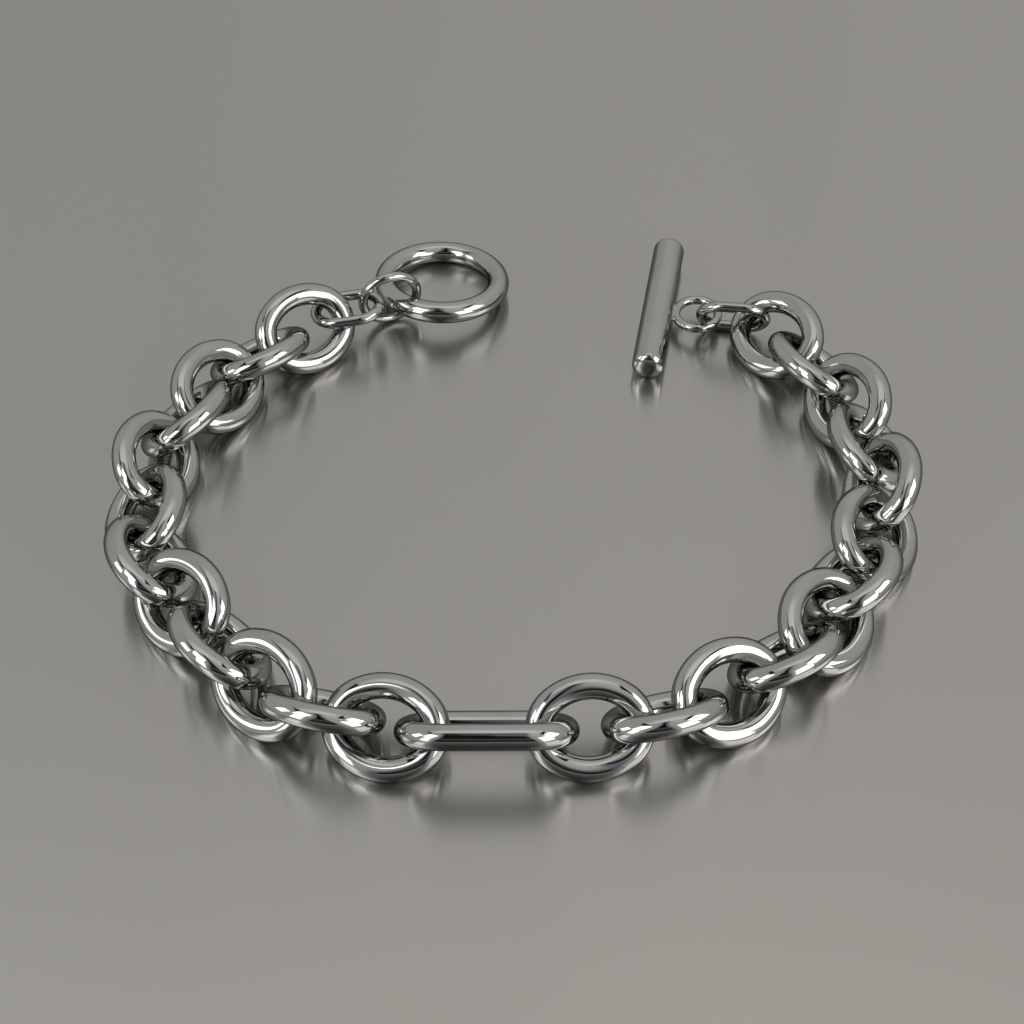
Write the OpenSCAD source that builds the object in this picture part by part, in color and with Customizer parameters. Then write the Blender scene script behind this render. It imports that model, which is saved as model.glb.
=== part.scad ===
// Cable chain bracelet with a toggle clasp, laid open in a U on a flat surface.
// Millimetres, Z up, the clasp on the far side. The origin is under the middle of the whole piece.

/* [Chain] */
// Thickness of the round wire of the chain links
wire_d = 2.5; // [2.4:0.05:2.55]
// Outer length of an oval link
link_length = 12.2; // [12.1:0.1:12.6]
// Outer width of an oval link
link_width = 10.2; // [10:0.1:10.4]
// Outer length of the long link at the front
long_length = 17.2; // [16:0.1:20]
// Outer width of the long link
long_width = 9.8; // [9.6:0.1:10]
// Lean of the long link, its near side up
long_lean = 46; // [42:1:50]
// Play between two links that are pulled against each other
play = 0.1; // [0.08:0.01:0.14]

/* [Toggle clasp] */
// Outer diameter of the toggle ring
ring_outer_d = 15.9; // [15.8:0.1:16]
// Thickness of the toggle ring's wire
ring_wire_d = 2.5; // [2.4:0.05:2.55]
// Length of the toggle bar
bar_length = 22.2; // [20:0.1:25]
// Diameter of the toggle bar
bar_d = 3.65; // [3.65:0.05:3.75]
// Rounding of the bar's ends
bar_end_r = 0.9; // [0.5:0.1:0.9]
// Outer diameter of the loop that is soldered to the bar
loop_outer_d = 5.9; // [5.85:0.05:5.95]
// Thickness of the loop's wire
loop_wire_d = 1; // [0.9:0.05:1]
// Outer diameter of the jump ring on the toggle ring
jump_outer_d = 7.6; // [7.55:0.05:7.65]
// Thickness of the jump ring's wire
jump_wire_d = 1.1; // [1:0.05:1.15]
// Outer length of the two small links next to the clasp
small_length = 8.6; // [8.55:0.05:8.65]
// Outer width of the two small links
small_width = 6.2; // [6.15:0.05:6.25]
// Thickness of the small links' wire
small_wire_d = 1.2; // [1.1:0.05:1.2]

/* [Hidden] */
$fn = 48;

// The arms run from the long link to the clasp, a row for each link.
// turn: bend towards the inside of the U before the link, in degrees
// lean: how far the link leans from flat, in degrees
// slid: how far the link has slid into the one before it, in mm
TURN = 0;
LEAN = 1;
SLID = 2;
RIGHT_ARM = [
    [5, 41, 0],
    [11, 43, 0],
    [18, 33, 0],
    [0, 41, 0.3],
    [25, 28, 0.2],
    [-2, 34, 1],
    [10, 30, 0.4],
    [21, 52, 0.5],
    [12, 32, 0.9],
    [8, 45, 0.7],
    [15, 35, 0.3],
    [-2, 30, 0.5],
];
LEFT_ARM = [
    [13, 32, 0.1],
    [2, 46, 1],
    [26, 45, 0.5],
    [12, 40, 0.2],
    [-6, 40, 0.3],
    [20, 38, 0.4],
    [19, 32, 0.1],
    [13, 43, 0.1],
    [22, 39, 0.1],
    [-4, 37, 1.3],
    [24, 33, 0.3],
    [2, 44, 0.9],
];

// Places of the clasp's pieces, from the middle of the long link.
// The turns are about X, then Y, then Z.
ring_at = [-5.6, 65.24];
ring_tilt = 8.5;
ring_raised_side = 257;
jump_at = [-11.5, 60.55, 3.87];
jump_turn = [95, 0, 19];
left_small_at = [-16.28, 58.2, 4.2];
left_small_turn = [-5, -6, 5];
right_small_at = [28.28, 57.98, 2.96];
right_small_turn = [-66.1, -2.2, -9.8];
bar_at = [19.94, 61.2];
bar_heading = 79.4;
loop_lean = 1.2;
loop_dip = -2.3;
// From the middle of the bar to the loop's centre, along the bar
loop_slide = 0.8;
// Depth of the loop's wire in the solder joint
solder_depth = 0.2;

LINKS = [for (k = [1:12]) k];

wire_r = wire_d / 2;
half_length = link_length / 2 - wire_r;
half_width = link_width / 2 - wire_r;
long_half_length = long_length / 2 - wire_r;
long_half_width = long_width / 2 - wire_r;
small_wire_r = small_wire_d / 2;
jump_wire_r = jump_wire_d / 2;
loop_wire_r = loop_wire_d / 2;
ring_wire_r = ring_wire_d / 2;
ring_bend_r = ring_outer_d / 2 - ring_wire_r;
ring_height = ring_wire_r + ring_bend_r * sin(ring_tilt);

// From a link's centre to the middle of its joint with the next link
reach = half_length - wire_r - play / 2;
long_reach = long_half_length - wire_r - play / 2;

// Heading of link k of an arm, measured from the long link's axis
function heading(arm, k) = k < 1 ? 0 : heading(arm, k - 1) + arm[k - 1][TURN];
function along(angle, distance) = [cos(angle), sin(angle)] * distance;

// Place of the joint behind link k, and of the link's centre
function joint(arm, k) =
    k < 1 ? [long_reach, 0] : centre(arm, k) + along(heading(arm, k), reach);
function centre(arm, k) =
    joint(arm, k - 1) + along(heading(arm, k), reach - arm[k - 1][SLID]);

// Odd links lean with their inner side up, even links with their outer side up
function lean(arm, k) = arm[k - 1][LEAN] * (k % 2 == 1 ? 1 : -1);
function rest_height(half_w, angle) = half_w * sin(abs(angle)) + wire_r;

// An oval link is drawn with arcs: tight ends and gently curved sides. The centres of an
// end and of a side make a triangle of 3, 4 and 5 parts, so the arcs meet without a gap.
part_l = (half_length - half_width) / 2;
end_x = 3 * part_l;
side_drop = 4 * part_l;
link_end_r = half_length - end_x;
side_bend_r = half_width + side_drop;
end_angle = atan2(4, 3);

// How far the wire's middle line of an oval goes out in the direction [a, b] of its plane
function oval_extent(a, b) =
    abs(a) * side_drop < abs(b) * end_x
        ? side_bend_r * norm([a, b]) - side_drop * abs(b)
        : link_end_r * norm([a, b]) + end_x * abs(a);

// Outermost x and nearest y of link k of an arm
function outer_x(arm, k) =
    centre(arm, k).x + wire_r
    + oval_extent(cos(heading(arm, k)), sin(heading(arm, k)) * cos(lean(arm, k)));
function near_y(arm, k) =
    centre(arm, k).y - wire_r
    - oval_extent(sin(heading(arm, k)), cos(heading(arm, k)) * cos(lean(arm, k)));

// Sides of the box round the whole piece, and its middle
right_x = max([for (k = LINKS) outer_x(RIGHT_ARM, k)]);
left_x = -max([for (k = LINKS) outer_x(LEFT_ARM, k)]);
long_near_y = -long_half_width * cos(long_lean) - wire_r;
near_side_y = min(long_near_y, near_y(RIGHT_ARM, 1), near_y(LEFT_ARM, 1));
ring_slant = norm([cos(ring_tilt) * sin(ring_raised_side), cos(ring_raised_side)]);
ring_far_y = ring_at.y + ring_bend_r * ring_slant + ring_wire_r;
bar_flat_r = bar_d / 2 - bar_end_r;
bar_straight = bar_length - 2 * bar_end_r;
bar_far_y = bar_at.y + bar_end_r
    + bar_straight / 2 * sin(bar_heading) + bar_flat_r * cos(bar_heading);
far_side_y = max(ring_far_y, bar_far_y);
middle = [right_x + left_x, near_side_y + far_side_y] / 2;

module from_middle() {
    translate([-middle.x, -middle.y, 0])
        children();
}

module wire_arc(bend_r, from, to, wire_radius) {
    rotate([0, 0, from])
        rotate_extrude(angle = to - from)
            translate([bend_r, 0])
                circle(r = wire_radius);
}

module with_mirror_image() {
    children();
    mirror([0, 1, 0])
        children();
}

module oval_link() {
    for (turned = [0, 180])
        rotate([0, 0, turned])
            with_mirror_image() {
                translate([end_x, 0, 0])
                    wire_arc(link_end_r, 0, end_angle, wire_r);
                translate([0, -side_drop, 0])
                    wire_arc(side_bend_r, 90, end_angle, wire_r);
            }
}

// Half-round ends and straight sides
module stadium(half_l, half_w, wire_radius) {
    straight = 2 * (half_l - half_w);
    for (turned = [0, 180])
        rotate([0, 0, turned]) {
            translate([straight / 2, 0, 0])
                wire_arc(half_w, -90, 90, wire_radius);
            translate([-straight / 2, half_w, 0])
                rotate([0, 90, 0])
                    cylinder(r = wire_radius, h = straight);
        }
}

module long_link() {
    color("silver")
        translate([0, 0, rest_height(long_half_width, long_lean)])
            rotate([-long_lean, 0, 0])
                stadium(long_half_length, long_half_width, wire_r);
}

module arm_link(arm, k) {
    at = centre(arm, k);
    color("silver")
        translate([at.x, at.y, rest_height(half_width, lean(arm, k))])
            rotate([0, 0, heading(arm, k)])
                rotate([lean(arm, k), 0, 0])
                    oval_link();
}

module right_link(k) {
    arm_link(RIGHT_ARM, k);
}

module left_link(k) {
    mirror([1, 0, 0])
        arm_link(LEFT_ARM, k);
}

module turned_ring(bend_r, wire_radius) {
    rotate_extrude()
        translate([bend_r, 0])
            circle(r = wire_radius);
}

module toggle_ring() {
    color("silver")
        translate([ring_at.x, ring_at.y, ring_height])
            rotate([0, 0, ring_raised_side])
                rotate([0, -ring_tilt, 0])
                    turned_ring(ring_bend_r, ring_wire_r);
}

module jump_ring() {
    color("silver")
        translate(jump_at)
            rotate(jump_turn)
                turned_ring(jump_outer_d / 2 - jump_wire_r, jump_wire_r);
}

module small_link(at, turn) {
    half_l = small_length / 2 - small_wire_r;
    half_w = small_width / 2 - small_wire_r;
    color("silver")
        translate(at)
            rotate(turn)
                stadium(half_l, half_w, small_wire_r);
}

module profile_box(width, height) {
    translate([0, -height / 2])
        square([width, height]);
}

module bar_rod() {
    rotate([90, 0, 0])
        rotate_extrude() {
            profile_box(bar_flat_r, bar_length);
            profile_box(bar_d / 2, bar_straight);
            for (end = [-1, 1])
                translate([bar_flat_r, end * bar_straight / 2])
                    circle(r = bar_end_r);
        }
}

// The bar and its soldered loop are one solid.
module toggle_bar() {
    loop_bend_r = loop_outer_d / 2 - loop_wire_r;
    loop_distance = bar_d / 2 + loop_outer_d / 2 - solder_depth;
    color("silver")
        translate([bar_at.x, bar_at.y, bar_d / 2])
            rotate([0, 0, bar_heading - 90]) {
                bar_rod();
                rotate([0, loop_dip, 0])
                    translate([loop_distance, -loop_slide, 0])
                        rotate([loop_lean, 0, 0])
                            turned_ring(loop_bend_r, loop_wire_r);
            }
}

from_middle() long_link();
from_middle() small_link(left_small_at, left_small_turn);  // left_small_link
from_middle() small_link(right_small_at, right_small_turn);  // right_small_link
from_middle() jump_ring();
from_middle() toggle_ring();
from_middle() toggle_bar();
for (k = LINKS) {
    from_middle() left_link(k);
    from_middle() right_link(k);
}
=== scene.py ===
import math

import bmesh
import bpy
import numpy as np
from mathutils import Matrix, Vector
from mathutils.bvhtree import BVHTree


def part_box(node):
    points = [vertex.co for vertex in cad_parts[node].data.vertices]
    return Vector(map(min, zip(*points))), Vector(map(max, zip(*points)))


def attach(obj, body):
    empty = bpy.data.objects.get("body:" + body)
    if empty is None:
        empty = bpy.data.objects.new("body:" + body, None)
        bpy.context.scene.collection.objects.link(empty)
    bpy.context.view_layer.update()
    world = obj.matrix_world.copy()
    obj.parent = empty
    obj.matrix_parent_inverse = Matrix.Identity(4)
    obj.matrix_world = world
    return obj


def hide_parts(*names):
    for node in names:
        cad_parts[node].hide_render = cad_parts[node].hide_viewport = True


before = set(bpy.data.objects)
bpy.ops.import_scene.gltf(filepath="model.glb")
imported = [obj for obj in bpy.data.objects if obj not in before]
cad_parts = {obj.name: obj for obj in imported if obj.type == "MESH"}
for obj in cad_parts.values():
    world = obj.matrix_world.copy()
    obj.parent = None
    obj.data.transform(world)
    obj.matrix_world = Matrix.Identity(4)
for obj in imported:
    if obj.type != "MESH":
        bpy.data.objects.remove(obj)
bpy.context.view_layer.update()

MM = 0.001

CHAIN_LINKS = [f"{arm}_link_{k}" for arm in ("left", "right") for k in range(1, 13)]
SMALL_LINKS = ["left_small_link", "right_small_link"]
ROUND_RINGS = ["jump_ring", "toggle_ring"]

# The toggle bar and its loop, as they are in the solid
BAR_HEADING = 79.4
BAR_END_ROUNDING = 0.9 * MM
LOOP_ACROSS = 5.9 * MM
LOOP_WIRE = 1.0 * MM
LOOP_SUNK = 0.2 * MM
LOOP_ALONG = -0.8 * MM
LOOP_DIP = -2.3
LOOP_LEAN = 1.2

# Camera: place from the middle of the bracelet, and how it looks down on it
CAMERA_AT = Vector((-1.115, -122.467, 132.45)) * MM
LOOKS_DOWN = 48.23
HEADING = -0.45
CAMERA_ROLL = 0.15
SENSOR_WIDTH = 36
LENS = 58.84


def numbers(mesh, name, per_item, kind=float):
    """The named coordinates or indices of a mesh's vertices or triangles, as rows."""
    source = mesh.vertices if name == "co" else mesh.loop_triangles
    flat = np.empty(len(source) * per_item, kind)
    source.foreach_get(name, flat)
    return flat.reshape(-1, per_item)


def solid_axes(node):
    """Centre of a solid, its long, wide and thin directions, and half its size along them."""
    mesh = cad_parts[node].data
    mesh.calc_loop_triangles()
    points = numbers(mesh, "co", 3)
    corners = points[numbers(mesh, "vertices", 3, int)]
    start = points.mean(axis=0)
    a, b, c = (corners - start).transpose(1, 0, 2)
    volumes = np.einsum("ij,ij->i", a, np.cross(b, c))
    centre = (volumes[:, None] * (a + b + c)).sum(axis=0) / (4 * volumes.sum())
    a, b, c = a - centre, b - centre, c - centre
    volumes = np.einsum("ij,ij->i", a, np.cross(b, c))
    spread = sum(np.einsum("i,ij,ik->jk", volumes, v, v) for v in (a, b, c, a + b + c))
    thin, wide, long = np.linalg.eigh(spread)[1].T
    axes = np.array([long, wide, np.cross(long, wide)])
    half_size = np.abs((points - start - centre) @ axes.T).max(axis=0)
    return start + centre, axes, half_size


def add_node(tree, kind, **settings):
    node = tree.nodes.new(kind)
    for name, value in settings.items():
        setattr(node, name, value)
    return node


def feed(tree, socket, value):
    """Joins a socket to an output, or sets it to a plain value."""
    if isinstance(value, bpy.types.NodeSocket):
        tree.links.new(value, socket)
    elif value is not None:
        socket.default_value = value


def calc(tree, operation, *values):
    node = add_node(tree, "ShaderNodeMath", operation=operation)
    for socket, value in zip(node.inputs, values):
        feed(tree, socket, value)
    return node.outputs[0]


def vector_calc(tree, operation, *values):
    node = add_node(tree, "ShaderNodeVectorMath", operation=operation)
    for socket, value in zip(node.inputs, values):
        feed(tree, socket, value)
    return node.outputs["Value" if operation == "DOT_PRODUCT" else "Vector"]


def joined(tree, kind, inputs, **settings):
    """A node whose named inputs are fed, and its first output."""
    node = add_node(tree, kind, **settings)
    for name, value in inputs.items():
        feed(tree, node.inputs[name], value)
    return node.outputs[0]


def ramp(tree, value, low, high, out_low=0.0, out_high=1.0, smooth=True):
    node = add_node(tree, "ShaderNodeMapRange", clamp=True)
    if smooth:
        node.interpolation_type = "SMOOTHSTEP"
    for name, number in (
        ("Value", value), ("From Min", low), ("From Max", high),
        ("To Min", out_low), ("To Max", out_high),
    ):
        feed(tree, node.inputs[name], number)
    return node.outputs[0]


def blend_colours(tree, share, first, second):
    node = add_node(tree, "ShaderNodeMix", data_type="RGBA")
    feed(tree, node.inputs[0], share)
    feed(tree, node.inputs[6], first)
    feed(tree, node.inputs[7], second)
    return node.outputs[2]


def new_group(name, kind, inputs, outputs):
    """A node group with named inputs and outputs, and its two end nodes."""
    tree = bpy.data.node_groups.new(name, kind)
    for socket_name, socket_type, value in inputs:
        socket = tree.interface.new_socket(
            name=socket_name, in_out="INPUT", socket_type=socket_type
        )
        if value is not None:
            socket.default_value = value
    for socket_name, socket_type in outputs:
        tree.interface.new_socket(name=socket_name, in_out="OUTPUT", socket_type=socket_type)
    return tree, add_node(tree, "NodeGroupInput").outputs, add_node(tree, "NodeGroupOutput")


# Bent wire

FLOAT, COUNT, SWITCH = "NodeSocketFloat", "NodeSocketInt", "NodeSocketBool"

# An oval's end and side arcs have their centres 3 parts across and 4 parts up from its middle.
OVAL_ACROSS, OVAL_UP = 3.0, 4.0


def ring_outline(tree, given):
    """Moves the points of a unit circle onto an oval of two end arcs and two side arcs."""
    circle = joined(
        tree, "GeometryNodeCurvePrimitiveCircle", {"Resolution": given["Outline points"]}
    )
    position = add_node(tree, "GeometryNodeInputPosition").outputs[0]
    split = add_node(tree, "ShaderNodeSeparateXYZ")
    feed(tree, split.inputs[0], position)
    across, up = split.outputs[0], split.outputs[1]
    # The arcs meet where the outline faces OVAL_UP up for OVAL_ACROSS across.
    slope = calc(tree, "MULTIPLY", calc(tree, "ABSOLUTE", up), OVAL_ACROSS)
    level = calc(tree, "MULTIPLY", calc(tree, "ABSOLUTE", across), OVAL_UP)
    on_end = calc(tree, "LESS_THAN", slope, level)
    on_end = calc(tree, "MAXIMUM", on_end, given["Straight sides"])
    end = add_node(tree, "ShaderNodeCombineXYZ")
    shift = calc(tree, "MULTIPLY", calc(tree, "SIGN", across), given["End centre"])
    feed(tree, end.inputs[0], calc(tree, "MULTIPLY_ADD", across, given["End radius"], shift))
    feed(tree, end.inputs[1], calc(tree, "MULTIPLY", up, given["End radius"]))
    side = add_node(tree, "ShaderNodeCombineXYZ")
    drop = calc(tree, "MULTIPLY", calc(tree, "SIGN", up), given["Side centre"])
    feed(tree, side.inputs[0], calc(tree, "MULTIPLY", across, given["Side radius"]))
    feed(
        tree, side.inputs[1],
        calc(tree, "SUBTRACT", calc(tree, "MULTIPLY", up, given["Side radius"]), drop),
    )
    choice = joined(
        tree, "GeometryNodeSwitch",
        {"Switch": on_end, "False": side.outputs[0], "True": end.outputs[0]},
        input_type="VECTOR",
    )
    return joined(tree, "GeometryNodeSetPosition", {"Geometry": circle, "Position": choice})


def marked(tree, geometry, name):
    """Keeps how far along its curve each point lies, from 0 to 1."""
    factor = add_node(tree, "GeometryNodeSplineParameter").outputs["Factor"]
    return joined(
        tree, "GeometryNodeStoreNamedAttribute",
        {"Geometry": geometry, "Name": name, "Value": factor},
        data_type="FLOAT", domain="POINT",
    )


def bent_wire_tree():
    """A closed ring of round wire, slightly uneven as hand polished metal is."""
    tree, given, end = new_group(
        "bent_wire", "GeometryNodeTree",
        [
            ("End centre", FLOAT, 0.0), ("End radius", FLOAT, 0.004),
            ("Side centre", FLOAT, 0.0), ("Side radius", FLOAT, 0.004),
            ("Straight sides", SWITCH, False), ("Wire radius", FLOAT, 0.001),
            ("Outline points", COUNT, 720), ("Steps along", COUNT, 150),
            ("Steps around", COUNT, 40), ("Unevenness", FLOAT, 0.0),
            ("Waves per metre", FLOAT, 300.0), ("Seed", COUNT, 0),
            ("Finish", "NodeSocketMaterial", None),
        ],
        [("Geometry", "NodeSocketGeometry")],
    )
    tree.is_modifier = True
    outline = ring_outline(tree, given)
    evened = add_node(tree, "GeometryNodeResampleCurve", mode="COUNT")
    feed(tree, evened.inputs["Curve"], outline)
    feed(tree, evened.inputs["Count"], given["Steps along"])
    path = marked(tree, evened.outputs[0], "along")
    round_section = joined(
        tree, "GeometryNodeCurvePrimitiveCircle",
        {"Resolution": given["Steps around"], "Radius": given["Wire radius"]},
    )
    section = marked(tree, round_section, "around")
    skin = joined(
        tree, "GeometryNodeCurveToMesh", {"Curve": path, "Profile Curve": section}
    )
    waves = joined(
        tree, "ShaderNodeTexNoise",
        {"W": given["Seed"], "Scale": given["Waves per metre"], "Detail": 1.0},
        noise_dimensions="4D",
    )
    height = calc(tree, "MULTIPLY", calc(tree, "SUBTRACT", waves, 0.75), given["Unevenness"])
    normal = add_node(tree, "GeometryNodeInputNormal").outputs[0]
    push = add_node(tree, "ShaderNodeVectorMath", operation="SCALE")
    feed(tree, push.inputs[0], normal)
    feed(tree, push.inputs["Scale"], height)
    uneven = joined(
        tree, "GeometryNodeSetPosition", {"Geometry": skin, "Offset": push.outputs[0]}
    )
    smooth = joined(tree, "GeometryNodeSetShadeSmooth", {"Geometry": uneven})
    real = joined(tree, "GeometryNodeRealizeInstances", {"Geometry": smooth})
    finished = joined(
        tree, "GeometryNodeSetMaterial", {"Geometry": real, "Material": given["Finish"]}
    )
    feed(tree, end.inputs["Geometry"], finished)
    return tree


def grown(tree, name, values):
    """The mesh that a tree makes from named values."""
    shell = bpy.data.objects.new(name, bpy.data.meshes.new(name))
    bpy.context.scene.collection.objects.link(shell)
    maker = shell.modifiers.new("maker", "NODES")
    maker.node_group = tree
    for item in tree.interface.items_tree:
        if item.in_out == "INPUT" and item.name in values:
            maker[item.identifier] = values[item.name]
    bpy.context.view_layer.update()
    evaluated = shell.evaluated_get(bpy.context.evaluated_depsgraph_get())
    mesh = bpy.data.meshes.new_from_object(evaluated)
    bpy.data.objects.remove(shell)
    return mesh


def outline_sizes(node, half_length, half_width):
    """The arcs of a piece's wire, at the middle of the wire."""
    if node in CHAIN_LINKS:
        part = (half_length - half_width) / 2
        end_centre, side_centre = OVAL_ACROSS * part, OVAL_UP * part
    else:
        end_centre, side_centre = half_length - half_width, 0.0
    return {
        "End centre": end_centre,
        "End radius": half_length - end_centre,
        "Side centre": side_centre,
        "Side radius": half_width + side_centre,
        "Straight sides": node not in CHAIN_LINKS,
    }


UNEVENNESS = 0.012 * MM
THIN_WIRE = 1 * MM


def wire_mesh(tree, node, place, half_size, finish, seed):
    half_length, half_width, wire_radius = (float(value) for value in half_size)
    values = outline_sizes(node, half_length - wire_radius, half_width - wire_radius)
    thin = wire_radius < THIN_WIRE
    values.update({
        "Wire radius": wire_radius,
        "Steps along": 120 if thin else 168,
        "Steps around": 28 if thin else 40,
        "Unevenness": UNEVENNESS / 2 if thin else UNEVENNESS,
        "Seed": seed,
        "Finish": finish,
    })
    mesh = grown(tree, node, values)
    mesh.transform(place)
    unwrap(mesh)
    return mesh


def unwrap(mesh):
    """A UV map that runs along the wire and around it, whole across its two joints."""
    along = np.empty(len(mesh.vertices))
    around = np.empty(len(mesh.vertices))
    mesh.attributes["along"].data.foreach_get("value", along)
    mesh.attributes["around"].data.foreach_get("value", around)
    corner = np.empty(len(mesh.loops), int)
    mesh.loops.foreach_get("vertex_index", corner)
    uv = np.stack([along[corner], around[corner]], axis=1).reshape(-1, 4, 2)
    past = (uv.max(axis=1, keepdims=True) - uv > 0.5) & (uv < 0.5)
    uv = uv + past
    layer = mesh.uv_layers.new(name="wire")
    layer.data.foreach_set("uv", uv.ravel())


def place_of(centre, axes):
    place = Matrix.Identity(4)
    for column, axis in enumerate(axes):
        place.col[column][:3] = axis
    place.translation = centre
    return place


# Toggle bar

AROUND_BAR = 72
ALONG_BAR = 40
ROUNDING_STEPS = 16
# The ends' rounding is wider across the ends than along the bar.
BAR_FACE_ROUNDING = 1.5 * MM
# Rings of points on a flat end, as shares of its radius
END_RINGS = np.array([0.35, 0.8, 0.97])


def bar_place():
    """Place of the bar with its length along Y, its radius and half its straight length."""
    low, high = (Vector(corner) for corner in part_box("toggle_bar"))
    heading = math.radians(BAR_HEADING)
    radius = (high.z - low.z) / 2
    flat = radius - BAR_END_ROUNDING
    half_span = (high.y - low.y) / 2 - BAR_END_ROUNDING
    half_straight = (half_span - flat * math.cos(heading)) / math.sin(heading)
    left = half_straight * math.cos(heading) + flat * math.sin(heading) + BAR_END_ROUNDING
    middle = Vector((low.x + left, (low.y + high.y) / 2, low.z + radius))
    turned = Matrix.Rotation(heading - math.pi / 2, 4, "Z")
    return Matrix.Translation(middle) @ turned, radius, half_straight


def loop_place(bar, radius):
    """Place of the loop's middle, with its axis along Z."""
    outwards = Matrix.Rotation(math.radians(LOOP_DIP), 4, "Y")
    distance = radius + LOOP_ACROSS / 2 - LOOP_SUNK
    lean = Matrix.Rotation(math.radians(LOOP_LEAN), 4, "X")
    return bar @ outwards @ Matrix.Translation((distance, LOOP_ALONG, 0)) @ lean


def closed_mesh(name, points, faces, uvs):
    """A closed smooth mesh with a UV pair for each corner, its faces turned outwards."""
    mesh = bpy.data.meshes.new(name)
    mesh.from_pydata([tuple(point) for point in points], [], faces)
    layer = mesh.uv_layers.new(name="wire")
    layer.data.foreach_set("uv", np.concatenate([np.ravel(uv) for uv in uvs]))
    work = bmesh.new()
    work.from_mesh(mesh)
    bmesh.ops.recalc_face_normals(work, faces=work.faces)
    work.to_mesh(mesh)
    work.free()
    mesh.polygons.foreach_set("use_smooth", np.ones(len(mesh.polygons), bool))
    return mesh


def band_faces(rows, around):
    """Quads between closed rows of points, and their UV pairs, which run on past the seam."""
    faces, uvs = [], []
    for row in range(rows - 1):
        low, high = row / (rows - 1), (row + 1) / (rows - 1)
        for k in range(around):
            here, there = k / around, (k + 1) / around
            next_k = (k + 1) % around
            faces.append((
                row * around + k, row * around + next_k,
                (row + 1) * around + next_k, (row + 1) * around + k,
            ))
            uvs.append([(low, here), (low, there), (high, there), (high, here)])
    return faces, uvs


def add_fan(faces, uvs, row, around, tip, along):
    """Triangles from a row of points to one point, which close an end."""
    for k in range(around):
        faces.append((row * around + k, row * around + (k + 1) % around, tip))
        uvs.append([(along, k / around), (along, (k + 1) / around), (along, (k + 0.5) / around)])


def rod_mesh(name, radius, half_straight):
    """The bar's round rod along Y, with rounded edges and flat ends."""
    flat = radius - BAR_FACE_ROUNDING
    turns = np.linspace(0, math.pi / 2, ROUNDING_STEPS + 1)
    end = half_straight + BAR_END_ROUNDING
    out = np.concatenate([flat * END_RINGS, flat + BAR_FACE_ROUNDING * np.sin(turns)])
    rounding = half_straight + BAR_END_ROUNDING * np.cos(turns)
    up = np.concatenate([np.full(len(END_RINGS), end), rounding])
    straight = np.linspace(half_straight, -half_straight, ALONG_BAR)[1:-1]
    stations = np.concatenate([up, straight, -up[::-1]])
    radii = np.concatenate([out, np.full(len(straight), radius), out[::-1]])
    angles = np.arange(AROUND_BAR) * 2 * math.pi / AROUND_BAR
    rows = [
        np.stack([r * np.cos(angles), np.full(AROUND_BAR, y), r * np.sin(angles)], axis=1)
        for r, y in zip(radii, stations)
    ]
    points = np.concatenate(rows + [[(0, end, 0), (0, -end, 0)]])
    faces, uvs = band_faces(len(rows), AROUND_BAR)
    add_fan(faces, uvs, 0, AROUND_BAR, len(points) - 2, 0.0)
    add_fan(faces, uvs, len(rows) - 1, AROUND_BAR, len(points) - 1, 1.0)
    return closed_mesh(name, points, faces, uvs)


SOLDER_REACH = 0.32 * MM
AROUND_SOLDER, SOLDER_STEPS = 96, 12
# Half-lengths along and across the bar that the search for the fillet starts from
SOLDER_START = (1.6 * MM, 0.6 * MM)
SEARCH_ROUNDS = 60
SEARCH_STEP = 0.1 * MM
SEARCH_NUDGE = 0.0001 * MM
SEARCH_ERROR = 0.001 * MM
# How far the fillet's hidden end points lie from the bar's surface
SOLDER_CAP = 0.3 * MM


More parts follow.
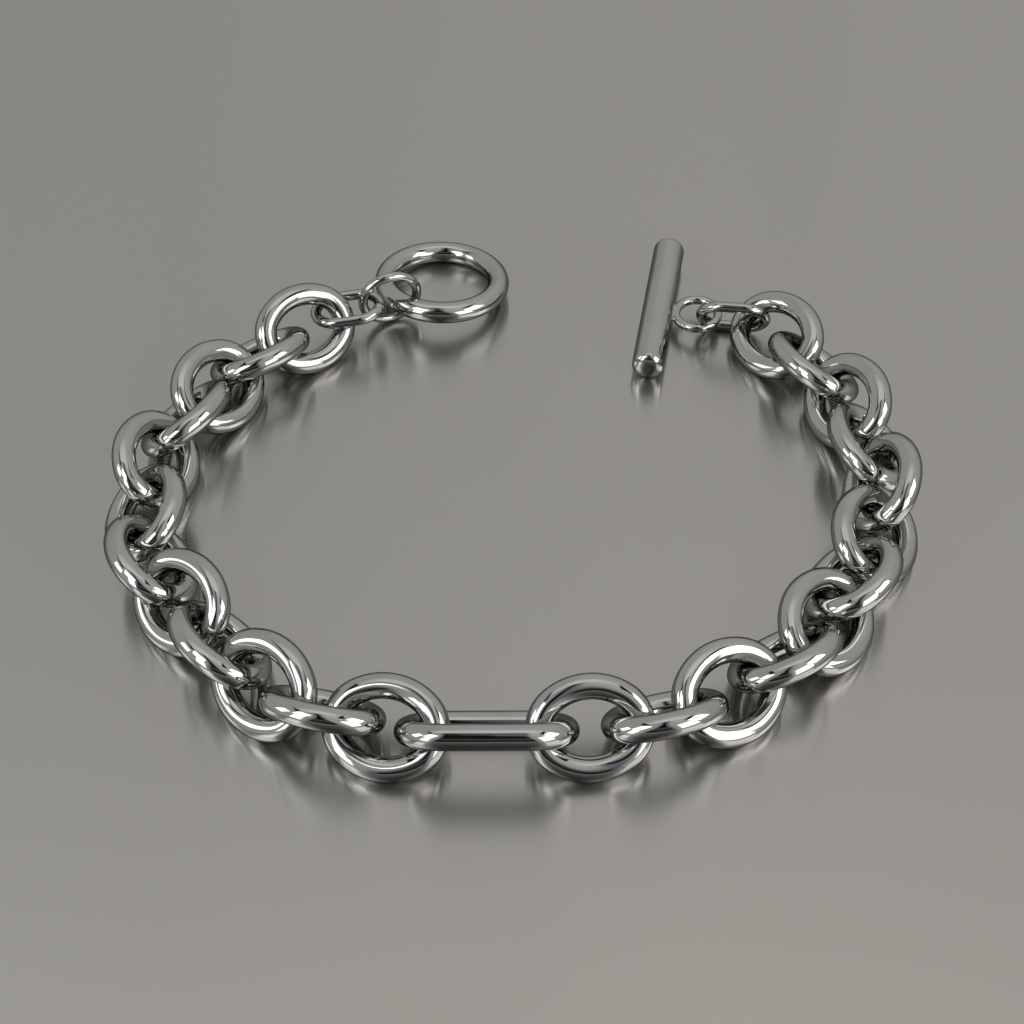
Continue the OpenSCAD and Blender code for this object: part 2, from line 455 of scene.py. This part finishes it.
def solder_mesh(name, radius):
    """The hollow fillet of solder between the bar and its loop, with the bar along Y."""
    bend_r, wire_r = LOOP_ACROSS / 2 - LOOP_WIRE / 2, LOOP_WIRE / 2
    middle_x = radius + LOOP_ACROSS / 2 - LOOP_SUNK
    lean = math.radians(LOOP_LEAN)
    angle, lead = np.meshgrid(
        np.arange(AROUND_SOLDER) * 2 * math.pi / AROUND_SOLDER,
        np.linspace(-SOLDER_REACH, SOLDER_REACH, SOLDER_STEPS + 1),
    )

    def off_surfaces(out, depth):
        """How far a point is off the loop and off the bar."""
        across, up = out * np.cos(angle), out * np.sin(angle)
        x, y = depth - middle_x, across * math.cos(lean) + up * math.sin(lean)
        z = up * math.cos(lean) - across * math.sin(lean)
        off_loop = np.hypot(np.hypot(x, y) - bend_r, z) - wire_r
        off_bar = np.hypot(depth, up) - radius
        return off_loop, off_bar

    # The fillet bends away from each surface and meets it smoothly where its reach ends.
    raised = (1 - np.abs(lead) / SOLDER_REACH) ** 2 * SOLDER_REACH / 4
    wanted = (raised + np.maximum(lead, 0), raised + np.maximum(-lead, 0))
    out = 1 / np.hypot(np.cos(angle) / SOLDER_START[0], np.sin(angle) / SOLDER_START[1])
    depth = np.full_like(out, radius + SEARCH_STEP)
    tiny = SEARCH_NUDGE
    for _ in range(SEARCH_ROUNDS):
        loop_now, bar_now = off_surfaces(out, depth)
        loop_out, bar_out = off_surfaces(out + tiny, depth)
        loop_deep, bar_deep = off_surfaces(out, depth + tiny)
        a, b = (loop_out - loop_now) / tiny, (loop_deep - loop_now) / tiny
        c, d = (bar_out - bar_now) / tiny, (bar_deep - bar_now) / tiny
        e, f = wanted[0] - loop_now, wanted[1] - bar_now
        scale = a * d - b * c
        out = out + np.clip((d * e - b * f) / scale, -SEARCH_STEP, SEARCH_STEP)
        depth = depth + np.clip((a * f - c * e) / scale, -SEARCH_STEP, SEARCH_STEP)
    missed = np.abs(np.stack(off_surfaces(out, depth)) - np.stack(wanted)).max()
    assert missed < SEARCH_ERROR, missed
    rows = np.stack([depth, out * np.cos(angle) + LOOP_ALONG, out * np.sin(angle)], axis=2)
    inside = [(radius + SOLDER_CAP, LOOP_ALONG, 0), (radius - SOLDER_CAP, LOOP_ALONG, 0)]
    points = np.concatenate([rows.reshape(-1, 3), inside])
    faces, uvs = band_faces(SOLDER_STEPS + 1, AROUND_SOLDER)
    add_fan(faces, uvs, 0, AROUND_SOLDER, len(points) - 2, 0.0)
    add_fan(faces, uvs, SOLDER_STEPS, AROUND_SOLDER, len(points) - 1, 1.0)
    return closed_mesh(name, points, faces, uvs)


# Finishes


def smudge_group():
    """Faint cloudy smears left by wiping and by fingers."""
    tree, given, end = new_group(
        "wiped_smears", "ShaderNodeTree",
        [("Position", "NodeSocketVector", None), ("Size", FLOAT, 220.0), ("Amount", FLOAT, 1.0)],
        [("Mask", FLOAT)],
    )
    bent = joined(
        tree, "ShaderNodeTexNoise",
        {"Vector": given["Position"], "Scale": given["Size"], "Detail": 3.0, "Distortion": 0.8},
    )
    mask = calc(tree, "MULTIPLY", ramp(tree, bent, 0.42, 0.72), given["Amount"])
    feed(tree, end.inputs["Mask"], mask)
    return tree


def polishing_group():
    """Very fine lines that run along the wire, from drawing it and from the buffing wheel."""
    tree, given, end = new_group(
        "polishing_lines", "ShaderNodeTree",
        [
            ("Wire map", "NodeSocketVector", None), ("Lines along", FLOAT, 9.0),
            ("Lines around", FLOAT, 260.0), ("Depth", FLOAT, 1.0),
        ],
        [("Height", FLOAT), ("Mask", FLOAT)],
    )
    split = add_node(tree, "ShaderNodeSeparateXYZ")
    feed(tree, split.inputs[0], given["Wire map"])
    stretched = add_node(tree, "ShaderNodeCombineXYZ")
    feed(tree, stretched.inputs[0], calc(tree, "MULTIPLY", split.outputs[0], given["Lines along"]))
    feed(tree, stretched.inputs[1], calc(tree, "MULTIPLY", split.outputs[1], given["Lines around"]))
    lines = joined(
        tree, "ShaderNodeTexNoise",
        {"Vector": stretched.outputs[0], "Scale": 1.0, "Detail": 2.0, "Roughness": 0.6},
    )
    feed(tree, end.inputs["Height"], calc(tree, "MULTIPLY", lines, given["Depth"]))
    feed(tree, end.inputs["Mask"], ramp(tree, lines, 0.5, 0.78))
    return tree


def scratch_group():
    """Scattered hairline scratches in several directions, from wear."""
    tree, given, end = new_group(
        "hairline_scratches", "ShaderNodeTree",
        [
            ("Position", "NodeSocketVector", None), ("Spread", FLOAT, 700.0),
            ("Thinness", FLOAT, 0.03),
        ],
        [("Mask", FLOAT)],
    )
    total = None
    for turn in ((0.3, 0.9, 0.2), (1.3, 0.2, 1.1), (0.7, 1.9, 2.3)):
        turned = add_node(tree, "ShaderNodeVectorRotate", rotation_type="EULER_XYZ")
        feed(tree, turned.inputs["Vector"], given["Position"])
        feed(tree, turned.inputs["Rotation"], turn)
        squeezed = vector_calc(tree, "MULTIPLY", turned.outputs[0], (1.0, 0.12, 0.12))
        field = joined(
            tree, "ShaderNodeTexNoise",
            {"Vector": squeezed, "Scale": given["Spread"], "Detail": 0.0},
        )
        off_middle = calc(tree, "ABSOLUTE", calc(tree, "SUBTRACT", field, 0.5))
        line = ramp(tree, off_middle, 0.0, given["Thinness"], 1.0, 0.0)
        total = line if total is None else calc(tree, "MAXIMUM", total, line)
    where = joined(
        tree, "ShaderNodeTexNoise", {"Vector": given["Position"], "Scale": 330.0, "Detail": 1.0}
    )
    feed(tree, end.inputs["Mask"], calc(tree, "MULTIPLY", total, ramp(tree, where, 0.5, 0.62)))
    return tree


def use_group(tree, group, values):
    node = add_node(tree, "ShaderNodeGroup", node_tree=group)
    for name, value in values.items():
        feed(tree, node.inputs[name], value)
    return node.outputs


def bare_material(name):
    material = bpy.data.materials.new(name)
    material.use_nodes = True
    material.node_tree.nodes.clear()
    tree = material.node_tree
    shader = add_node(tree, "ShaderNodeBsdfPrincipled")
    output = add_node(tree, "ShaderNodeOutputMaterial")
    tree.links.new(shader.outputs[0], output.inputs["Surface"])
    return material, tree, shader


# How much of the light that steel reflects is left where it is seen at a glancing angle
RIM_SHARE = 0.35
STEEL_TONE = (0.55, 0.545, 0.535, 1)
SMEARED_TONE = (0.46, 0.455, 0.44, 1)
# Dark tone where pieces touch: painted shade between the pieces, together with the dulling of their
# rubbed wear
RUBBED_AND_SHADED_TONE = (0.253, 0.25025, 0.242, 1)
# How far smears go towards their tone
SMEAR_SHARE = 0.35
# What each kind of wear adds to the roughness
ROUGHER = {"smears": 0.035, "lines": 0.015, "scratches": 0.07, "rubbed_and_shaded": 0.16}
# How deep scratches are next to polishing lines
SCRATCH_DEPTH = -0.5
BUMP_STRENGTH = 0.25
BUMP_DISTANCE = 0.0006 * MM


def polished_steel(name, groups, lines_around, roughness):
    """Mirror polished steel: clean metal, faint smears and lines, and joints dulled by rubbing and
    darkened with painted shade.
    """
    material, tree, shader = bare_material(name)
    position = add_node(tree, "ShaderNodeTexCoord").outputs["Object"]
    wire_map = add_node(tree, "ShaderNodeUVMap", uv_map="wire").outputs[0]
    smears = use_group(tree, groups["smears"], {"Position": position})["Mask"]
    lines = use_group(
        tree, groups["lines"], {"Wire map": wire_map, "Lines around": lines_around}
    )
    scratches = use_group(tree, groups["scratches"], {"Position": position})["Mask"]
    rubbed_and_shaded = add_node(tree, "ShaderNodeAttribute", attribute_name="rubbed_and_shaded").outputs["Fac"]

    dulling_and_shade = calc(tree, "MULTIPLY", rubbed_and_shaded, ramp(tree, lines["Mask"], 0.0, 0.6, 0.55, 1.0))
    smeared = calc(tree, "MULTIPLY", smears, SMEAR_SHARE)
    colour = blend_colours(tree, smeared, STEEL_TONE, SMEARED_TONE)
    # Where pieces touch, the steel is painted darker: painted shade between the pieces
    colour = blend_colours(tree, dulling_and_shade, colour, RUBBED_AND_SHADED_TONE)
    feed(tree, shader.inputs["Base Color"], colour)

    rough = calc(tree, "MULTIPLY_ADD", smears, ROUGHER["smears"], roughness)
    rough = calc(tree, "MULTIPLY_ADD", lines["Mask"], ROUGHER["lines"], rough)
    rough = calc(tree, "MULTIPLY_ADD", scratches, ROUGHER["scratches"], rough)
    rough = calc(tree, "MULTIPLY_ADD", dulling_and_shade, ROUGHER["rubbed_and_shaded"], rough)
    feed(tree, shader.inputs["Roughness"], rough)

    height = calc(tree, "MULTIPLY_ADD", scratches, SCRATCH_DEPTH, lines["Height"])
    bump = add_node(tree, "ShaderNodeBump")
    bump.inputs["Strength"].default_value = BUMP_STRENGTH
    bump.inputs["Distance"].default_value = BUMP_DISTANCE
    feed(tree, bump.inputs["Height"], height)
    feed(tree, shader.inputs["Normal"], bump.outputs[0])
    shader.inputs["Metallic"].default_value = 1.0
    shader.inputs["Specular Tint"].default_value = (*[RIM_SHARE] * 3, 1)
    return material


# How far from a neighbour the rubbed wear and the painted shade between pieces reach, and how they
# fade
RUB_AND_SHADE_REACH = 0.55 * MM
RUB_AND_SHADE_FADE = 1.5


def mark_rubbed_and_shaded(pieces):
    """Marks where a piece comes close to its neighbours, which is where they rub and where painted
    shade darkens them.
    """
    trees, boxes = {}, {}
    for name, (_, piece) in pieces.items():
        points = numbers(piece.data, "co", 3)
        faces = [polygon.vertices[:] for polygon in piece.data.polygons]
        trees[name] = BVHTree.FromPolygons(points.tolist(), faces)
        boxes[name] = (points, points.min(axis=0) - RUB_AND_SHADE_REACH, points.max(axis=0) + RUB_AND_SHADE_REACH)
    for name, (node, piece) in pieces.items():
        points = boxes[name][0]
        nearest = np.full(len(points), RUB_AND_SHADE_REACH)
        for other, (_, low, high) in boxes.items():
            if pieces[other][0] == node:
                continue
            near = np.nonzero(((points > low) & (points < high)).all(axis=1))[0]
            for index in near:
                found = trees[other].find_nearest(Vector(points[index]), RUB_AND_SHADE_REACH)
                if found[0] is not None:
                    nearest[index] = min(nearest[index], found[3])
        layer = piece.data.attributes.new("rubbed_and_shaded", "FLOAT", "POINT")
        layer.data.foreach_set("value", (1 - nearest / RUB_AND_SHADE_REACH) ** RUB_AND_SHADE_FADE)


# Camera, floor and light


def make_camera():
    data = bpy.data.cameras.new("camera")
    data.sensor_width = SENSOR_WIDTH
    data.lens = LENS
    data.clip_start = 0.001
    data.clip_end = 20
    camera = bpy.data.objects.new("camera", data)
    tilt = Matrix.Rotation(math.radians(90 - LOOKS_DOWN), 4, "X")
    heading = Matrix.Rotation(math.radians(HEADING), 4, "Z")
    roll = Matrix.Rotation(math.radians(CAMERA_ROLL), 4, "Z")
    camera.matrix_world = Matrix.Translation(CAMERA_AT) @ heading @ tilt @ roll
    bpy.context.scene.collection.objects.link(camera)
    bpy.context.scene.camera = camera


FLOOR_HALF = 2.0
PALE_TONES = (0.44, 0.43, 0.41, 1), (0.47, 0.46, 0.44, 1)
PALE_ROUGHNESS = 0.5
CLOUDS_PER_METRE = 14.0
# The satin polish, its darker tone where the metal mirrors it, which is painted shade in the
# metal's reflections, and how far its shine is drawn out
SATIN_TONE = (0.54, 0.531, 0.505, 1)
MIRRORED_SHADE_TONE = (0.4, 0.394, 0.378, 1)
SATIN_ROUGHNESS = 0.2
SATIN_STRETCH = 0.95
SATIN_SHARE = 0.94


def make_floor():
    """A plain pale floor with a satin polish, painted darker where the metal mirrors it, as painted
    shade in the metal's reflections.
    """
    corners = [(-1, -1), (1, -1), (1, 1), (-1, 1)]
    mesh = bpy.data.meshes.new("floor")
    mesh.from_pydata([(x * FLOOR_HALF, y * FLOOR_HALF, 0) for x, y in corners], [], [(0, 1, 2, 3)])
    floor = bpy.data.objects.new("floor", mesh)
    bpy.context.scene.collection.objects.link(floor)
    material, tree, pale = bare_material("pale_floor")
    position = add_node(tree, "ShaderNodeTexCoord").outputs["Object"]
    clouds = joined(
        tree, "ShaderNodeTexNoise", {"Vector": position, "Scale": CLOUDS_PER_METRE, "Detail": 2.0}
    )
    feed(tree, pale.inputs["Base Color"], blend_colours(tree, clouds, *PALE_TONES))
    pale.inputs["Roughness"].default_value = PALE_ROUGHNESS
    satin = add_node(tree, "ShaderNodeBsdfPrincipled")
    # In rays that the metal mirrors, the satin gets a darker tone: painted shade in the metal's
    # reflections
    mirrored = add_node(tree, "ShaderNodeLightPath").outputs["Is Glossy Ray"]
    satin_tone = blend_colours(tree, mirrored, SATIN_TONE, MIRRORED_SHADE_TONE)
    feed(tree, satin.inputs["Base Color"], satin_tone)
    satin.inputs["Metallic"].default_value = 1.0
    satin.inputs["Roughness"].default_value = SATIN_ROUGHNESS
    satin.inputs["Anisotropic"].default_value = SATIN_STRETCH
    grain = add_node(tree, "ShaderNodeCombineXYZ")
    grain.inputs[1].default_value = 1.0
    feed(tree, satin.inputs["Tangent"], grain.outputs[0])
    mix = add_node(tree, "ShaderNodeMixShader")
    mix.inputs[0].default_value = SATIN_SHARE
    feed(tree, mix.inputs[1], pale.outputs[0])
    feed(tree, mix.inputs[2], satin.outputs[0])
    output = next(node for node in tree.nodes if node.type == "OUTPUT_MATERIAL")
    tree.links.new(mix.outputs[0], output.inputs["Surface"])
    mesh.materials.append(material)


def direction(azimuth, elevation):
    """Unit vector, with the azimuth clockwise from the far side and the elevation from level."""
    a, e = math.radians(azimuth), math.radians(elevation)
    return Vector((math.sin(a) * math.cos(e), math.cos(a) * math.cos(e), math.sin(e)))


BRIGHTNESS = 1.2


def grey(value, warmth=1.0):
    """A slightly warm grey of the given strength."""
    value *= BRIGHTNESS
    return (value, value * (1 - 0.02 * warmth), value * (1 - 0.06 * warmth), 1)


def steps_of(tree, value, stops):
    """A colour that changes with a value from 0 to 1, by the given stops."""
    node = add_node(tree, "ShaderNodeValToRGB")
    elements = node.color_ramp.elements
    while len(elements) < len(stops):
        elements.new(1.0)
    for element, (place, colour) in zip(elements, stops):
        element.position = place
        element.color = colour
    feed(tree, node.inputs[0], value)
    return node.outputs[0]


def glow(tree, towards, azimuth, elevation, inner, outer):
    """1 round a direction, falling to 0, with the two angles in degrees from it."""
    facing = vector_calc(tree, "DOT_PRODUCT", towards, direction(azimuth, elevation))
    inner, outer = (math.cos(math.radians(angle)) for angle in (inner, outer))
    return ramp(tree, facing, outer, inner)


# What the metal mirrors inside the dark opening on the camera's side, by elevation / 90
OPENING_STOPS = [
    (0.0, grey(0.085)), (0.075, grey(0.09)), (0.095, grey(0.2)), (0.15, grey(0.19)),
    (0.175, grey(0.014)), (0.29, grey(0.014)), (0.34, (0.07, 0.06, 0.056, 1)),
    (0.45, (0.077, 0.066, 0.062, 1)), (0.49, grey(0.018)), (0.62, grey(0.006)),
    (0.86, grey(0.004)), (1.0, grey(0.004)),
]
# Half the opening's width, by the height of the direction
OPENING_WIDTH = [(0.0, 0.42), (0.5, 0.3), (0.72, 0.15), (0.9, 0.06), (1.0, 0.03)]
OPENING_TO_LEFT = 0.05
# The opening's rim, and how far its bluish edge fades out beside it
OPENING_RIM = 0.02
OPENING_FADE = 0.13
OPENING_EDGE = (0.14, 0.157, 0.175, 1)

# The tent's greys on the left, on the right, low on the right, in its folds and overhead
LEFT_GREY, RIGHT_GREY, LOW_GREY, FOLD_GREY, TOP_GREY = 0.37, 0.385, 0.25, 0.2, 0.68
# Soft paler parts: azimuth, elevation, angles from there of the full part and its end, grey
PALE_PARTS = [(22, 38, 5, 35, 0.42), (92, 62, 8, 34, 0.5)]
LOW_SHARE, LOW_REACH = 0.45, 0.25
TOP_START = 0.8
FOLD_SCALES = (9.0, 9.0, 1.5)
FOLD_SHARE = 0.12

# Where the dark seams lie to the left and right, and where their tips are on the far side
SEAMS = [(-0.5, 0.42), (0.5, 0.34)]
SEAM_HALF_WIDTH = 0.1
SEAM_LENGTH = 0.55
SEAM_FADE = 0.015
SEAM_GREY = 0.012


def dark_seams(tree, x, y):
    """1 in the two narrow gaps between the tent's top and its sides."""
    seams = None
    for place, tip in SEAMS:
        off = calc(tree, "ABSOLUTE", calc(tree, "SUBTRACT", x, place))
        half_width = ramp(tree, y, tip - SEAM_LENGTH, tip, SEAM_HALF_WIDTH, 0.0, smooth=False)
        seam = ramp(tree, calc(tree, "SUBTRACT", half_width, off), 0.0, SEAM_FADE)
        seam = calc(tree, "MULTIPLY", seam, calc(tree, "GREATER_THAN", y, tip - SEAM_LENGTH))
        seams = seam if seams is None else calc(tree, "MAXIMUM", seams, seam)
    return seams


def make_surroundings():
    """A pale tent over the bracelet, with a dark opening on the camera's side."""
    world = bpy.data.worlds.new("studio")
    bpy.context.scene.world = world
    world.use_nodes = True
    tree = world.node_tree
    tree.nodes.clear()
    towards = add_node(tree, "ShaderNodeTexCoord").outputs["Generated"]
    split = add_node(tree, "ShaderNodeSeparateXYZ")
    feed(tree, split.inputs[0], towards)
    x, y, z = split.outputs

    to_right = ramp(tree, x, -0.1, 0.25)
    colour = blend_colours(tree, to_right, grey(LEFT_GREY), grey(RIGHT_GREY))
    for azimuth, elevation, inner, outer, tone in PALE_PARTS:
        pale = glow(tree, towards, azimuth, elevation, inner, outer)
        colour = blend_colours(tree, pale, colour, grey(tone))
    near_floor = ramp(tree, z, 0.0, LOW_REACH, LOW_SHARE, 0.0)
    low = calc(tree, "MULTIPLY", near_floor, ramp(tree, x, 0.0, 0.3))
    colour = blend_colours(tree, low, colour, grey(LOW_GREY))
    far_side = calc(tree, "GREATER_THAN", y, 0.0)
    top = calc(tree, "MULTIPLY", ramp(tree, z, TOP_START, 1.0), far_side)
    colour = blend_colours(tree, top, colour, grey(TOP_GREY))
    folds = joined(
        tree, "ShaderNodeTexNoise",
        {"Vector": vector_calc(tree, "MULTIPLY", towards, FOLD_SCALES), "Scale": 1.0,
         "Detail": 2.0},
    )
    folded = ramp(tree, folds, 0.5, 0.75, 0.0, FOLD_SHARE)
    colour = blend_colours(tree, folded, colour, grey(FOLD_GREY))

    colour = blend_colours(tree, dark_seams(tree, x, y), colour, grey(SEAM_GREY))
    off_centre = calc(tree, "ABSOLUTE", calc(tree, "ADD", x, OPENING_TO_LEFT))
    beside = calc(
        tree, "SUBTRACT", off_centre, steps_of(
            tree, z, [(place, (width, width, width, 1)) for place, width in OPENING_WIDTH]
        ),
    )
    near_side = calc(tree, "LESS_THAN", y, 0.0)
    edge = calc(tree, "MULTIPLY", ramp(tree, beside, 0.0, OPENING_FADE, 1.0, 0.0), near_side)
    colour = blend_colours(tree, edge, colour, OPENING_EDGE)
    height = calc(tree, "MULTIPLY", calc(tree, "ARCSINE", z), 2 / math.pi)
    inside = steps_of(tree, height, OPENING_STOPS)
    opening = ramp(tree, beside, -OPENING_RIM, 0.0, 1.0, 0.0)
    opening = calc(tree, "MULTIPLY", opening, near_side)
    colour = blend_colours(tree, opening, colour, inside)

    background = add_node(tree, "ShaderNodeBackground")
    feed(tree, background.inputs["Color"], colour)
    output = add_node(tree, "ShaderNodeOutputWorld")
    tree.links.new(background.outputs[0], output.inputs["Surface"])


SOFTBOX_DISTANCE = 0.3
WHITE, COOL = (1.0, 1.0, 0.99), (0.97, 0.985, 1.0)
# Azimuth, elevation, width and height in degrees, radiance and colour of each light
SOFTBOXES = {
    "right_softbox": (108, 36, 22, 30, 2.6, WHITE),
    "right_low_softbox": (137, 24, 26, 34, 1.5, WHITE),
    "left_softbox": (-131, 47, 20, 24, 2.3, COOL),
    "left_strip": (-104, 26, 16, 22, 2.0, COOL),
    "left_low_softbox": (-136, 20, 15, 22, 2.2, COOL),
}


def make_softbox(name, azimuth, elevation, width, height, radiance, colour):
    """A rectangular light that faces the bracelet, with its width and height in degrees."""
    data = bpy.data.lights.new(name, "AREA")
    data.shape = "RECTANGLE"
    data.size, data.size_y = (
        2 * SOFTBOX_DISTANCE * math.tan(math.radians(angle / 2)) for angle in (width, height)
    )
    data.energy = radiance * BRIGHTNESS * math.pi * data.size * data.size_y
    data.color = colour
    light = bpy.data.objects.new(name, data)
    light.location = direction(azimuth, elevation) * SOFTBOX_DISTANCE
    light.rotation_euler = (-light.location).to_track_quat("-Z", "Y").to_euler()
    bpy.context.scene.collection.objects.link(light)


def make_lights():
    make_surroundings()
    for name, values in SOFTBOXES.items():
        make_softbox(name, *values)


# The bracelet

# Each finish with its polishing lines around the wire and its roughness
FINISHES = [
    ("polished_steel", 260.0, 0.04), ("polished_steel_thin", 120.0, 0.05),
    ("polished_steel_bar", 340.0, 0.045), ("polished_solder", 60.0, 0.07),
]
LOOP_SEED = 40


def make_pieces():
    groups = {
        "smears": smudge_group(), "lines": polishing_group(), "scratches": scratch_group()
    }
    wire_steel, thin_steel, bar_steel, solder = (
        polished_steel(name, groups, lines_around, roughness)
        for name, lines_around, roughness in FINISHES
    )
    tree = bent_wire_tree()
    meshes = {}
    for seed, node in enumerate(["long_link"] + CHAIN_LINKS + SMALL_LINKS + ROUND_RINGS):
        centre, axes, half_size = solid_axes(node)
        steel = thin_steel if half_size[2] < THIN_WIRE else wire_steel
        mesh = wire_mesh(tree, node, place_of(centre, axes), half_size, steel, seed)
        meshes[node] = (node, mesh)
    bar, radius, half_straight = bar_place()
    rod = rod_mesh("rod", radius, half_straight)
    rod.transform(bar)
    rod.materials.append(bar_steel)
    fillet = solder_mesh("solder", radius)
    fillet.transform(bar @ Matrix.Rotation(math.radians(LOOP_DIP), 4, "Y"))
    fillet.materials.append(solder)
    loop_size = (LOOP_ACROSS / 2, LOOP_ACROSS / 2, LOOP_WIRE / 2)
    loop = wire_mesh(tree, "bar_loop", loop_place(bar, radius), loop_size, thin_steel, LOOP_SEED)
    meshes["bar_rod"] = ("toggle_bar", rod)
    meshes["bar_solder"] = ("toggle_bar", fillet)
    meshes["bar_loop"] = ("toggle_bar", loop)

    pieces = {}
    for name, (node, mesh) in meshes.items():
        piece = bpy.data.objects.new(name + "_polished", mesh)
        bpy.context.scene.collection.objects.link(piece)
        pieces[name] = (node, piece)
    mark_rubbed_and_shaded(pieces)
    for node, piece in pieces.values():
        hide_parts(node)
        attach(piece, "root")


bpy.context.scene.view_settings.view_transform = "Standard"
make_camera()
make_floor()
make_lights()
make_pieces()
